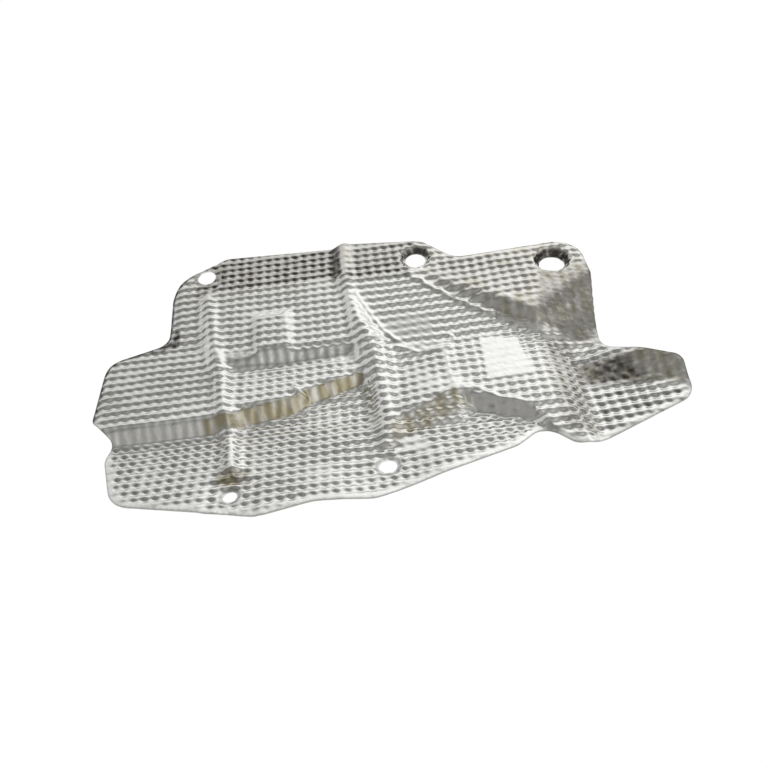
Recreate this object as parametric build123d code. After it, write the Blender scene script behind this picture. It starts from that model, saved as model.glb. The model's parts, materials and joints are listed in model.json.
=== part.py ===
from build123d import *
import os
from math import cos, radians, sin, sqrt

# Exhaust heat shield: one pressed aluminium sheet lying as it comes to rest.
# Millimetres, +Z up, +X along the long side, +Y towards the bolted rear edge.
# A slope is the height gained for each millimetre to the right or to the rear.

# Sheet, and how far a fold is eased at its line
SHEET = 0.8
BEND_LIFT = 0.8

# Ends of the sheet
LEFT_END = -157.4
RIGHT_END = 155.4
REAR_END = 93.5
FRONT_END = -93.2

# Left lobe, the low strip behind it and their rolled outer edges
LOBE_Z = 5.6
LOBE_REAR_SLOPE = -0.11
STRIP_Z = 2.6
ROLL_SLOPE = 0.45
LOBE_ROLL_X = -152.0
STRIP_ROLL_X = -115.5

# Upper terrace with its rear flange
TERRACE_Z = 5.2
FLANGE_FOLD_Y = 70.0
TERRACE_REAR_SLOPE = -0.03
FLANGE_REAR_SLOPE = -0.10

# Middle terrace and the riser up to the upper terrace
MIDDLE_Z = 3.4
MIDDLE_Y = 5.0
MIDDLE_REAR_SLOPE = -0.19
UPPER_SLOPER_Y = 8.4
UPPER_SLOPER_SKEW = 0.048
UPPER_SLOPER_SLOPE = 0.9

# Small raised patch on the upper terrace
PATCH_HEIGHT = 2.4
PATCH_LEFT = -72.0
PATCH_RIGHT = -47.0
PATCH_REAR = 42.0
PATCH_SIDE_SLOPE = 0.5

# Step from the strip up to the terraces, which jogs to the right near the rear edge
STEP_SLOPE = 0.7
STEP_SHIFT = -5.0
STEP_JOG_Y = 58.0
STEP_JOG_SKEW = 0.58
STEP_REAR_X = -92.5

# Front terrace, the valley behind it and the long riser, with corners of its foot in plan
FRONT_Y = -31.0
FRONT_REAR_SLOPE = -0.31
VALLEY_Z = 0.4
RISER_SLOPE = 1.1
RISER_FOOT_Y = -36.0
RISER_BEND = (-92.0, -36.0)
RISER_JOG_FRONT = (-47.0, -27.0)
RISER_JOG_REAR = (-42.0, -22.4)
RISER_END = (-5.0, -11.0)

# Rear centre panel with its flange
CENTRE_Z = 8.2
CENTRE_FOLD_Y = 59.0
CENTRE_REAR_SLOPE = 0.06
CENTRE_FLANGE_SLOPE = -0.035

# Plateau in front of it: top, left panel and flank
PLATEAU_Z = 4.6
PLATEAU_TOP = 13.2
PLATEAU_Y = 8.0
PLATEAU_REAR_SLOPE = -0.16
CHEEK_Z = 4.2
CHEEK_X = 9.0
CHEEK_Y = -10.0
CHEEK_RIGHT_SLOPE = 0.15
CHEEK_REAR_SLOPE = -0.19
FLANK_X = 104.0
FLANK_RIGHT_SLOPE = -0.60

# Riser in front of the plateau: soft at the left, then steep under a slanted edge given in plan
SOFT_FOOT_Y = -49.0
SOFT_SLOPE = 0.30
SOFT_END_X = 37.0
SOFT_END_SLOPE = -0.5
STEEP_SLOPE = 1.4
EDGE_LEFT = (37.0, -31.0)
EDGE_RIGHT = (72.0, -48.0)
SLANT_SKEW = 1.55

# Right flap and the curled wall behind it
FLAP_Z = 2.6
FLAP_X = 110.0
FLAP_Y = -34.0
FLAP_REAR_SLOPE = -0.165
FLAP_RIGHT_SLOPE = 0.09
CURL_SLOPE = 0.47
CURL_FOOT = (118.9, -30.0)
CURL_SKEW = 0.39
CURL_LEFT_X = 107.0
CURL_SIDE_SLOPE = 0.27

# Raised rear right shelf, the straight wall below it and the hollow cove at its right
SHELF_Z = 11.4
SHELF_X = 106.0
SHELF_Y = 51.5
SHELF_RIGHT_SLOPE = 0.035
SHELF_REAR_SLOPE = -0.085
WALL_X = 26.0
WALL_Y = 57.0
WALL_Z = 8.0
WALL_RIGHT_SLOPE = 0.6365
WALL_REAR_SLOPE = 0.763
COVE_Z = 0.3
COVE_RADIUS = 48.0
COVE_X = 90.0
COVE_Y = -27.0
COVE_TURN = 34.2
COVE_ARC = 44.0

# Ridge down the middle: y, x, height of the crest, slope of the left and of the right flank
RIDGE = (
    (-100.0, -12.0, -6.0, 0.45, 0.45),
    (-62.0, -3.2, 6.8, 0.45, 0.45),
    (-56.0, -2.2, 9.6, 0.50, 0.42),
    (-45.0, -0.4, 10.3, 0.70, 0.45),
    (-38.0, 0.0, 9.7, 0.80, 0.45),
    (-26.0, -1.2, 8.9, 0.90, 0.45),
    (-16.0, -2.2, 9.0, 0.90, 0.48),
    (-7.0, -3.2, 10.1, 0.75, 0.52),
    (3.0, -4.4, 11.2, 0.70, 0.60),
    (12.0, -5.4, 12.4, 0.70, 0.80),
    (25.0, -9.6, 12.0, 0.85, 0.95),
    (40.0, -12.8, 10.0, 1.00, 0.95),
    (48.0, -13.8, 9.2, 0.90, 0.90),
    (58.0, -13.8, 10.1, 0.75, 0.75),
    (100.0, -13.5, 7.5, 0.75, 0.75),
)
RIDGE_CREST = 1.5
RIDGE_LAP = 0.5

# Left bead over the terraces: y, x, height of the crest, slope of both flanks
BEAD = (
    (-72.0, -79.1, 10.8, 0.6, 0.6),
    (-62.0, -80.4, 13.2, 0.6, 0.6),
    (-38.0, -83.8, 5.9, 0.7, 0.7),
    (-34.0, -84.3, 6.6, 0.7, 0.7),
    (-27.0, -85.3, 11.5, 0.7, 0.7),
    (0.0, -89.0, 8.3, 0.7, 0.7),
    (12.0, -90.6, 9.3, 0.7, 0.7),
    (58.0, -97.0, 7.5, 0.7, 0.7),
    (72.0, -98.9, 2.3, 0.7, 0.7),
)
BEAD_CREST = 1.2

# Seat sunk in the front rim and the shallow dish around the front middle hole
SEAT_DEPTH = 0.9
SEAT_LEFT = -92.0
SEAT_RIGHT = -68.0
SEAT_REAR = -70.5
SEAT_SIDE_SLOPE = 0.4
DISH_X = -3.4
DISH_Y = -73.0
DISH_DEPTH = 2.2
DISH_RADIUS = 13.0
DISH_SLOPE = 0.15
DISH_CLEAR = 1.0

# Bolt holes: centre, diameter, rim of the dished seat and its depth
REAR_LEFT_HOLE = (-99.8, 80.0)
REAR_LEFT_BORE = 11.0
REAR_MIDDLE_HOLE = (28.0, 70.5)
REAR_MIDDLE_BORE = 12.0
REAR_MIDDLE_RIM = 19.5
REAR_MIDDLE_DEPTH = 3.2
REAR_RIGHT_HOLE = (106.0, 51.5)
REAR_RIGHT_BORE = 14.5
REAR_RIGHT_RIM = 21.5
REAR_RIGHT_DEPTH = 5.0
FRONT_LEFT_HOLE = (-80.5, -78.1)
FRONT_LEFT_BORE = 7.0
FRONT_LEFT_RIM = 12.0
FRONT_LEFT_DEPTH = 1.0
FRONT_MIDDLE_HOLE = (-3.4, -70.2)
FRONT_MIDDLE_BORE = 9.0
FRONT_MIDDLE_RIM = 15.5
FRONT_MIDDLE_DEPTH = 1.0
SEAT_RING = 1.0
LIP = 1.2
LIP_SHARE = 0.3

# Cut edge seen from above: corner points with their radii, clockwise from the rear left
OUTLINE = (
    (-120.4, 77.8, 24.0),
    (-87.0, REAR_END, 6.0),
    (-20.0, 89.7, 60.0),
    (33.0, 83.5, 14.0),
    (51.0, 65.1, 14.0),
    (123.2, 65.6, 16.0),
    (124.2, 34.0, 40.0),
    (119.5, -10.2, 10.0),
    (RIGHT_END - 0.2, -28.6, 7.0),
    (RIGHT_END, -51.6, 11.0),
    (98.0, -73.0, 12.0),
    (89.0, -73.0, 9.0),
    (74.5, -60.0, 6.0),
    (61.0, -69.4, 15.0),
    (-11.0, -90.6, 15.0),
    (-40.0, -88.0, 30.0),
    (-66.0, FRONT_END, 20.0),
    (-139.0, -75.4, 16.0),
    (-148.6, -44.0, 12.0),
    (-145.7, -32.5, 2.5),
    (LEFT_END, -19.6, 5.0),
    (-154.8, 20.6, 13.0),
    (-120.3, 30.8, 9.0),
)

# Size of the die blocks that the panels are cut from
BLOCK = 1600.0
DEEP = 60.0


def over(first, *others):
    """Blocks whose highest face shows."""
    for other in others:
        first = (first + other).solid()
    return first


def under(first, *others):
    """Blocks whose lowest face shows."""
    for other in others:
        first = (first & other).solid()
    return first


class Panel:
    """Flat panel through a point, with its slopes to the right and to the rear."""

    def __init__(self, x, y, z, right=0.0, rear=0.0):
        self.right, self.rear = right, rear
        self.z = z - right * x - rear * y

    def height(self, x, y):
        return self.z + self.right * x + self.rear * y

    def lifted(self, lift, right=0.0, rear=0.0, x=0.0, y=0.0):
        """Panel that starts from this one at a point, lifted and tilted further."""
        return Panel(x, y, self.height(x, y) + lift, self.right + right, self.rear + rear)

    def normal(self):
        return Vector(-self.right, -self.rear, 1.0).normalized()

    def plane(self, x, y, lift=0.0):
        """Frame on the panel with its Z square to it."""
        return Plane(Vector(x, y, self.height(x, y)) + self.normal() * lift, z_dir=self.normal())


def bend(a, b, lift):
    """Narrow panel that eases the fold between two panels."""
    return Panel(0, 0, (a.z + b.z) / 2 + lift, (a.right + b.right) / 2, (a.rear + b.rear) / 2)


def riser(start, end):
    """Long riser whose foot runs through two points in plan."""
    skew = (end[1] - start[1]) / (end[0] - start[0])
    return Panel(*start, VALLEY_Z, -RISER_SLOPE * skew, RISER_SLOPE)


# Panels of the front terrace
VALLEY = Panel(0, 0, VALLEY_Z)
FRONT = Panel(0, FRONT_Y, VALLEY_Z, 0, FRONT_REAR_SLOPE)
SEAT = FRONT.lifted(-SEAT_DEPTH)
DISH = FRONT.lifted(-DISH_DEPTH)

# Panels of the left half
LOBE = Panel(0, 0, LOBE_Z, 0, LOBE_REAR_SLOPE)
STRIP = Panel(0, 0, STRIP_Z)
TERRACE = Panel(0, FLANGE_FOLD_Y, TERRACE_Z, 0, TERRACE_REAR_SLOPE)
FLANGE = Panel(0, FLANGE_FOLD_Y, TERRACE_Z, 0, FLANGE_REAR_SLOPE)
MIDDLE = Panel(0, MIDDLE_Y, MIDDLE_Z, 0, MIDDLE_REAR_SLOPE)
UPPER_SLOPER = Panel(0, UPPER_SLOPER_Y, MIDDLE_Z, -UPPER_SLOPER_SLOPE * UPPER_SLOPER_SKEW, UPPER_SLOPER_SLOPE)
PATCH = TERRACE.lifted(PATCH_HEIGHT)

# Panels of the right half
CENTRE = Panel(0, CENTRE_FOLD_Y, CENTRE_Z, 0, CENTRE_REAR_SLOPE)
CENTRE_FLANGE = Panel(0, CENTRE_FOLD_Y, CENTRE_Z, 0, CENTRE_FLANGE_SLOPE)
PLATEAU = Panel(0, PLATEAU_Y, PLATEAU_Z, 0, PLATEAU_REAR_SLOPE)
CHEEK = Panel(CHEEK_X, CHEEK_Y, CHEEK_Z, CHEEK_RIGHT_SLOPE, CHEEK_REAR_SLOPE)
FLAP = Panel(FLAP_X, FLAP_Y, FLAP_Z, FLAP_RIGHT_SLOPE, FLAP_REAR_SLOPE)
FLANK = Panel(FLANK_X, FLAP_Y, FLAP.height(FLANK_X, FLAP_Y), FLANK_RIGHT_SLOPE, FLAP_REAR_SLOPE)
CURL = FLAP.lifted(0, CURL_SLOPE * CURL_SKEW, CURL_SLOPE, *CURL_FOOT)
CURL_SIDE = FLAP.lifted(0, CURL_SIDE_SLOPE, 0, CURL_LEFT_X)
SHELF = Panel(SHELF_X, SHELF_Y, SHELF_Z, SHELF_RIGHT_SLOPE, SHELF_REAR_SLOPE)
WALL = Panel(WALL_X, WALL_Y, WALL_Z, WALL_RIGHT_SLOPE, WALL_REAR_SLOPE)


class Die:
    """Press die that bears on the sheet, at a depth below the sheet's upper face."""

    def __init__(self, depth):
        self.depth = depth

    def block(self, panel):
        """Everything under a panel."""
        face = panel.plane(0, 0, -self.depth)
        cube = Box(BLOCK, BLOCK, BLOCK, align=(Align.CENTER, Align.CENTER, Align.MAX))
        return (face.location * cube).solid()

    def under(self, *panels):
        return under(*[self.block(panel) for panel in panels])

    def over(self, *panels):
        return over(*[self.block(panel) for panel in panels])

    def thinned(self, slope):
        """How far a corner between a level face and a flank moves with the depth."""
        return self.depth * (sqrt(1.0 + slope * slope) - 1.0) / slope

    def rib(self, stations, crest):
        """Rib lofted through its stations, its flanks running down into the panels."""
        sections = []
        for y, x, z, left, right in stations:
            top = z - self.depth
            near = crest - self.thinned(left)
            far = crest - self.thinned(right)
            sections.append(Wire.make_polygon([
                Vector(x - near - (top + DEEP) / left, y, -DEEP),
                Vector(x - near, y, top),
                Vector(x + far, y, top),
                Vector(x + far + (top + DEEP) / right, y, -DEEP),
            ]))
        return Solid.make_loft(sections, ruled=True)

    def front_terrace(self):
        sides = (
            SEAT.lifted(0, -SEAT_SIDE_SLOPE, 0, SEAT_LEFT),
            SEAT.lifted(0, SEAT_SIDE_SLOPE, 0, SEAT_RIGHT),
            SEAT.lifted(0, 0, SEAT_SIDE_SLOPE, 0, SEAT_REAR),
        )
        front = under(self.block(FRONT), self.over(SEAT, *sides))
        front = over(front, self.over(VALLEY, bend(FRONT, VALLEY, BEND_LIFT)))
        return under((front - self.dish()).solid(), self.flank())

    def dish(self):
        """Shallow dish pressed into the front terrace around the middle hole."""
        high = DISH_DEPTH + self.depth + DISH_CLEAR
        foot = DISH_RADIUS + self.thinned(DISH_SLOPE)
        corners = ((0, 0), (foot, 0), (foot + high / DISH_SLOPE, high), (0, high))
        turned = revolve(Plane.XZ * make_face(Polyline(*corners, close=True)), Axis.Z)
        return DISH.plane(DISH_X, DISH_Y, -self.depth).location * turned

    def long_riser(self, ease):
        """Riser over the front terrace, its foot running back to the right past a jog."""
        left = Panel(0, RISER_FOOT_Y, VALLEY_Z, 0, RISER_SLOPE)
        turned = riser(RISER_BEND, RISER_JOG_FRONT)
        jog = riser(RISER_JOG_FRONT, RISER_JOG_REAR)
        right = riser(RISER_JOG_REAR, RISER_END)
        foot = over(under(ease(turned), ease(jog)), ease(right))
        return under(ease(left), foot)

    def left_half(self):
        skew = STEP_SLOPE * bead_skew()
        lobe_roll = LOBE.lifted(0, ROLL_SLOPE, 0, LOBE_ROLL_X)
        lobe_end = LOBE.lifted(0, -STEP_SLOPE, skew, bead_x(0))
        strip_roll = STRIP.lifted(0, ROLL_SLOPE, 0, STRIP_ROLL_X)
        lobe = under(self.under(LOBE, lobe_roll, lobe_end), self.crest_of(LOBE))
        lobe = over(lobe, self.under(STRIP, strip_roll))

        rising = self.over(UPPER_SLOPER, bend(UPPER_SLOPER, MIDDLE, BEND_LIFT))
        terrace = self.under(TERRACE, FLANGE, bend(TERRACE, UPPER_SLOPER, -BEND_LIFT))
        patch = self.under(
            PATCH,
            TERRACE.lifted(0, PATCH_SIDE_SLOPE, 0, PATCH_LEFT),
            TERRACE.lifted(0, -PATCH_SIDE_SLOPE, 0, PATCH_RIGHT),
            TERRACE.lifted(0, 0, -PATCH_SIDE_SLOPE, 0, PATCH_REAR),
            bend(PATCH, UPPER_SLOPER, -BEND_LIFT),
        )
        middle = under(self.block(MIDDLE), self.crest_of(MIDDLE))
        stair = over(under(over(terrace, patch), rising), middle)

        jog_x = bead_x(STEP_JOG_Y) + STEP_SHIFT
        step = STRIP.lifted(0, STEP_SLOPE, -skew, bead_x(0) + STEP_SHIFT)
        step_jog = STRIP.lifted(0, STEP_SLOPE, -STEP_SLOPE * STEP_JOG_SKEW, jog_x, STEP_JOG_Y)
        step_rear = STRIP.lifted(0, STEP_SLOPE, 0, STEP_REAR_X)
        stair = under(stair, self.block(step), self.over(step_rear, step_jog))

        long_riser = self.long_riser(lambda foot: self.over(foot, bend(foot, FRONT, BEND_LIFT)))
        return under(over(lobe, stair), long_riser)

    def crest_of(self, panel):
        """Eased crest between a panel and the long riser."""
        return self.long_riser(lambda foot: self.block(bend(foot, panel, -BEND_LIFT)))

    def flank(self):
        """Slope from the plateau and the front terrace down to the flap."""
        return self.over(FLANK, bend(FLANK, FLAP, BEND_LIFT))

    def right_half(self):
        soft = Panel(0, SOFT_FOOT_Y, FRONT.height(0, SOFT_FOOT_Y), 0, SOFT_SLOPE)
        soft_end = soft.lifted(0, SOFT_END_SLOPE, 0, SOFT_END_X)
        skew = (EDGE_LEFT[1] - EDGE_RIGHT[1]) / (EDGE_RIGHT[0] - EDGE_LEFT[0])
        steep = PLATEAU.lifted(0, STEEP_SLOPE * skew, STEEP_SLOPE, *EDGE_LEFT)
        slant = PLATEAU.lifted(0, STEEP_SLOPE * SLANT_SKEW, STEEP_SLOPE, *EDGE_RIGHT)
        eased = self.over(steep, bend(steep, FRONT, BEND_LIFT))
        front_riser = over(self.under(soft, soft_end), eased, self.block(slant))

        centre = self.under(CENTRE, CENTRE_FLANGE)
        top = self.under(PLATEAU, CHEEK, Panel(0, 0, PLATEAU_TOP), bend(PLATEAU, FLANK, -BEND_LIFT))
        plateau = under(over(centre, top), front_riser, self.flank())

        curl = under(self.over(CURL, bend(CURL, FLAP, BEND_LIFT)), self.block(CURL_SIDE))
        low = over(plateau, self.block(FLAP), curl)

        foot = self.over(WALL, bend(WALL, CENTRE, BEND_LIFT), bend(WALL, PLATEAU, BEND_LIFT))
        shelf = self.under(SHELF, bend(SHELF, WALL, -BEND_LIFT))
        return over(low, under(shelf, foot, self.cove()))

    def cove(self):
        """Hollow of constant radius, climbing towards the rear."""
        radius = COVE_RADIUS + self.depth
        centre_z = COVE_Z + COVE_RADIUS
        turn = radians(COVE_ARC)
        start = (0, centre_z - radius)
        middle = (radius * sin(turn / 2), centre_z - radius * cos(turn / 2))
        end = (radius * sin(turn), centre_z - radius * cos(turn))
        far = (end[0] + BLOCK * cos(turn), end[1] + BLOCK * sin(turn))
        arc = ThreePointArc(start, middle, end)
        rest = Polyline(end, far, (far[0], -BLOCK), (-BLOCK, -BLOCK), (-BLOCK, start[1]), start)
        run = Vector(cos(radians(COVE_TURN)), sin(radians(COVE_TURN)), 0)
        frame = Plane(Vector(COVE_X, COVE_Y, 0), x_dir=Vector(-run.Y, run.X, 0), z_dir=run)
        return extrude(frame * make_face([arc, rest]), BLOCK / 2, both=True).solid()

    def left_of(self, shift):
        """Everything to the left of the ridge's crest, moved to the right by a shift."""
        wide = BLOCK / 4
        crest = [(x + shift, y) for y, x, _, _, _ in RIDGE]
        side = [(-wide, -wide), (crest[0][0], -wide), *crest, (crest[-1][0], wide), (-wide, wide)]
        return extrude(make_face(Polyline(*side, close=True)), wide, both=True).solid()

    def whole(self):
        """Both halves, lapped under the ridge, with the two ribs on them."""
        left = under(self.left_half(), self.left_of(RIDGE_LAP))
        right = (self.right_half() - self.left_of(-RIDGE_LAP)).solid()
        ribs = (self.rib(RIDGE, RIDGE_CREST), self.rib(BEAD, BEAD_CREST))
        return over(self.front_terrace(), left, right, *ribs)


def bead_skew():
    """Sideways shift of the bead for each millimetre to the rear."""
    return (BEAD[-1][1] - BEAD[0][1]) / (BEAD[-1][0] - BEAD[0][0])


def bead_x(y):
    return BEAD[0][1] + bead_skew() * (y - BEAD[0][0])


def rounded_outline(corners):
    """Closed edge of straight runs with a round at every corner."""
    count = len(corners)
    ends = []
    for i, (x, y, radius) in enumerate(corners):
        here = Vector(x, y)
        back = (Vector(*corners[i - 1][:2]) - here).normalized()
        ahead = (Vector(*corners[(i + 1) % count][:2]) - here).normalized()
        half = (back + ahead).length / 2
        reach = radius * half / sqrt(1.0 - half * half)
        bisector = (back + ahead).normalized()
        swell = radius / sqrt(1.0 - half * half) - radius
        ends.append((here + back * reach, here + bisector * swell, here + ahead * reach))
    edges = []
    for i, (start, middle, end) in enumerate(ends):
        edges.append(Edge.make_three_point_arc(start, middle, end))
        edges.append(Edge.make_line(end, ends[(i + 1) % count][0]))
    return Wire(edges)


def cup(frame, bore, rim, depth):
    """Dished seat turned about the hole axis, its lip held inside the sheet."""
    inner, outer, half = bore / 2, rim / 2, SHEET / 2
    lip = SHEET * LIP_SHARE
    section = Polyline(
        (inner, -depth - half), (inner, -depth + half),
        (inner + SEAT_RING, -depth + half), (outer - half, lip),
        (outer + LIP, lip), (outer + LIP, -lip),
        (outer, -lip), (inner + SEAT_RING + half, -depth - half), close=True,
    )
    return frame.location * revolve(Plane.XZ * make_face(section), Axis.Z)


# Panel that carries each hole, its centre, bore, rim and depth of the dished seat
HOLES = (
    (STRIP, REAR_LEFT_HOLE, REAR_LEFT_BORE, REAR_LEFT_BORE, 0.0),
    (CENTRE_FLANGE, REAR_MIDDLE_HOLE, REAR_MIDDLE_BORE, REAR_MIDDLE_RIM, REAR_MIDDLE_DEPTH),
    (SHELF, REAR_RIGHT_HOLE, REAR_RIGHT_BORE, REAR_RIGHT_RIM, REAR_RIGHT_DEPTH),
    (SEAT, FRONT_LEFT_HOLE, FRONT_LEFT_BORE, FRONT_LEFT_RIM, FRONT_LEFT_DEPTH),
    (DISH, FRONT_MIDDLE_HOLE, FRONT_MIDDLE_BORE, FRONT_MIDDLE_RIM, FRONT_MIDDLE_DEPTH),
)

# Sheet between the two dies, trimmed to the cut edge and pierced
blank = Solid.extrude(Face(rounded_outline(OUTLINE)), Vector(0, 0, 2 * DEEP)).moved(Location((0, 0, -DEEP)))
shield = (blank & Die(0.0).whole()) - Die(SHEET).whole()
for panel, centre, bore, rim, depth in HOLES:
    frame = panel.plane(*centre, -SHEET / 2)
    shield -= frame.location * Cylinder(rim / 2, DEEP / 2)
    if depth:
        shield += cup(frame, bore, rim, depth)

# Set down with the lowest point on the ground, centred over the origin
solid = shield.solids()[0]
box = solid.bounding_box()
shift = Vector(-box.center().X, -box.center().Y, -box.min.Z)
solid = solid.moved(Location(shift))
print("solids", len(shield.solids()), "valid", solid.is_valid, "volume", round(solid.volume, 1))
print("size", box.size, "moved", *shift)
for panel, centre, bore, rim, depth in HOLES:
    frame = panel.plane(*centre, -SHEET / 2)
    seat = frame.origin + shift
    print("hole", bore, depth, *[round(v, 4) for v in (*seat, *frame.z_dir)], SHEET)

os.makedirs("parts", exist_ok=True)
export_step(solid, "parts/heat_shield.step")
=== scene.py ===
import json
from math import cos, pi, radians, sin, sqrt

import bmesh
import bpy
import numpy as np
from mathutils import Matrix, Vector
from mathutils.bvhtree import BVHTree
from mathutils.geometry import delaunay_2d_cdt


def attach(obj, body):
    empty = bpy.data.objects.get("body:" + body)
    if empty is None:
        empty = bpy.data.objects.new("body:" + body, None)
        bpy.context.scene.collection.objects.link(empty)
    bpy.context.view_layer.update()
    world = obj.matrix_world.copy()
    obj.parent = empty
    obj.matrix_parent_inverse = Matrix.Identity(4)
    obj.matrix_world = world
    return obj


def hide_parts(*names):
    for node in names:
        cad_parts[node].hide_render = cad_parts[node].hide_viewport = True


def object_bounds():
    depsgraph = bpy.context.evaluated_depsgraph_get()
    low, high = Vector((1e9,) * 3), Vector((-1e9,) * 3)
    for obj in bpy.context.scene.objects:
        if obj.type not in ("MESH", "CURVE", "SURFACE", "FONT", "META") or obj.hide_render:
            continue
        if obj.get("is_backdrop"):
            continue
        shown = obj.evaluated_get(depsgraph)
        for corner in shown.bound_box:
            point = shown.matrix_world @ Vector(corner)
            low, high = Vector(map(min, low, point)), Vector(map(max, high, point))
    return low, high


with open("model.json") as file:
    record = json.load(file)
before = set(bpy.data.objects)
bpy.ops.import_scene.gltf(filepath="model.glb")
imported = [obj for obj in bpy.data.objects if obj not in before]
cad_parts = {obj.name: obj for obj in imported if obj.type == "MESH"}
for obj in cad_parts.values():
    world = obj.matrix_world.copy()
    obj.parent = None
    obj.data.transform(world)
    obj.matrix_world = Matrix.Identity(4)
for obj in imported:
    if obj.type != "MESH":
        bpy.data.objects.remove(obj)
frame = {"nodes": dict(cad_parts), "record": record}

MM = 0.001
for name in ("Cube", "Light", "Camera"):
    if name in bpy.data.objects:
        bpy.data.objects.remove(bpy.data.objects[name])
cad_low, cad_high = (v.copy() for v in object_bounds())
cad = frame["nodes"]["heat_shield"]
print("CAD box in mm:", [round(v / MM, 1) for v in (*cad_low, *cad_high)])

# %% [markdown]
# ## Measuring the pressed form
# A sheet like this is a height map: from straight above, every point has one height. The waffle could
# be pressed into the CAD mesh itself, but its facets are large and would show as flat patches in the
# mirror finish. So we look down on it with a ray every half millimetre and write the heights in a
# table. A table is easy to smooth.
# %% Cast rays down on the CAD mesh
STEP = 0.5 * MM
MARGIN = 4.0 * MM
ABOVE = 1.0

points = [v.co.copy() for v in cad.data.vertices]
probe = BVHTree.FromPolygons(points, [tuple(p.vertices) for p in cad.data.polygons])
x_axis = np.arange(cad_low.x - MARGIN, cad_high.x + MARGIN, STEP)
y_axis = np.arange(cad_low.y - MARGIN, cad_high.y + MARGIN, STEP)
heights = np.full((len(y_axis), len(x_axis)), np.nan)
down = Vector((0, 0, -1))
for j, y in enumerate(y_axis):
    for i, x in enumerate(x_axis):
        hit = probe.ray_cast(Vector((x, y, cad_high.z + ABOVE)), down)[0]
        if hit is not None:
            heights[j, i] = hit.z
sheet_here = ~np.isnan(heights)
print("height table", heights.shape, "covered", round(float(sheet_here.mean()), 3))

# %% [markdown]
# ## Rounding the folds
# The press leaves rounded folds. Bevels could round them on the CAD mesh, but bevels stumble where
# several folds meet. A blur of about one millimetre rounds every fold in the table alike. The table is
# empty in the bolt holes and past the edge, so the blur divides by how much sheet it met.
# %% Smooth the heights
FOLD_BLUR = 1.2 * MM
FILL_BLUR = 6.0 * MM
SIGMAS = 3
SOME_SHEET, ANY_SHEET = 0.02, 1e-6
NOT_ZERO = 1e-9


def blur(table, sigma):
    """Gaussian blur along both directions of a table."""
    reach = int(SIGMAS * sigma / STEP) + 1
    kernel = np.exp(-0.5 * (np.arange(-reach, reach + 1) * STEP / sigma) ** 2)
    kernel /= kernel.sum()
    padded = np.pad(table, ((reach, reach), (0, 0)), mode="edge")
    rows = sum(k * padded[n:n + table.shape[0]] for n, k in enumerate(kernel))
    padded = np.pad(rows, ((0, 0), (reach, reach)), mode="edge")
    return sum(k * padded[:, n:n + table.shape[1]] for n, k in enumerate(kernel))


def blur_over(table, weight, sigma):
    """Blur that only counts the cells with weight."""
    return blur(table * weight, sigma) / np.maximum(blur(weight, sigma), NOT_ZERO)


solid = sheet_here.astype(float)
known = np.where(sheet_here, heights, 0.0)
spread = blur_over(known, solid, FILL_BLUR)
spread = np.where(blur(solid, FILL_BLUR) > ANY_SHEET, spread, known[sheet_here].mean())
base = blur_over(known, solid, FOLD_BLUR)
base = np.where(blur(solid, FOLD_BLUR) > SOME_SHEET, base, spread)
fold_y, fold_x = np.gradient(base, STEP)
print("steepest fold", round(float(np.hypot(fold_x, fold_y)[sheet_here].max()), 2))

# %% [markdown]
# ## The cut edge
# A die trimmed the sheet along one closed line. It could be drawn again by hand, but then the dressed
# sheet might not end where the CAD model does. The CAD mesh has that line already: it is where the
# upper face turns to an upright wall. We walk those edges end to end and space the points evenly.
# %% Walk the cut edges
UPRIGHT = 0.15
UPPER = 0.25
WELD = 0.002 * MM


def cut_loops():
    """Lines where the upper face meets an upright wall, as lists of points."""
    welded = bmesh.new()
    welded.from_mesh(cad.data)
    bmesh.ops.remove_doubles(welded, verts=welded.verts, dist=WELD)
    follow = {}
    for edge in welded.edges:
        lean = sorted((face.normal.z for face in edge.link_faces), key=abs)
        if len(lean) == 2 and abs(lean[0]) < UPRIGHT and lean[1] > UPPER:
            a, b = edge.verts
            follow.setdefault(a.index, []).append(b.index)
            follow.setdefault(b.index, []).append(a.index)
    welded.verts.ensure_lookup_table()
    places = [v.co.copy() for v in welded.verts]
    welded.free()
    loops = []
    while follow:
        here = next(iter(follow))
        loop = [here]
        while follow.get(here):
            there = follow[here].pop()
            follow[there].remove(here)
            loop.append(there)
            here = there
        follow = {k: v for k, v in follow.items() if v}
        loops.append([places[i] for i in loop])
    return loops


longest = max(cut_loops(), key=len)
print("cut line of", len(longest), "points, closed", longest[0] == longest[-1])

# %% Space the outline evenly
EDGE_STEP = 0.9 * MM


def resampled(loop, step):
    """The same closed line in plan with even steps."""
    ring = np.array(loop, float)
    if not np.allclose(ring[0], ring[-1]):
        ring = np.vstack((ring, ring[:1]))
    run = np.concatenate(([0.0], np.cumsum(np.hypot(*np.diff(ring, axis=0).T))))
    marks = np.linspace(0.0, run[-1], int(run[-1] / step) + 1)[:-1]
    return np.column_stack((np.interp(marks, run, ring[:, 0]), np.interp(marks, run, ring[:, 1])))


outline = resampled([(p.x, p.y) for p in longest], EDGE_STEP)
print("outline points", len(outline))

# %% [markdown]
# ## The bolt holes
# Five bolts hold the real sheet. Their holes could be walked on the CAD mesh like the outline, but the
# part's record states each of them as a round bore. A circle drawn from that centre, axis and radius
# is rounder than any walked line, and it leans with the seat that it goes through.
# %% Draw the hole rims
RIM_POINTS = 40

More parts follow.
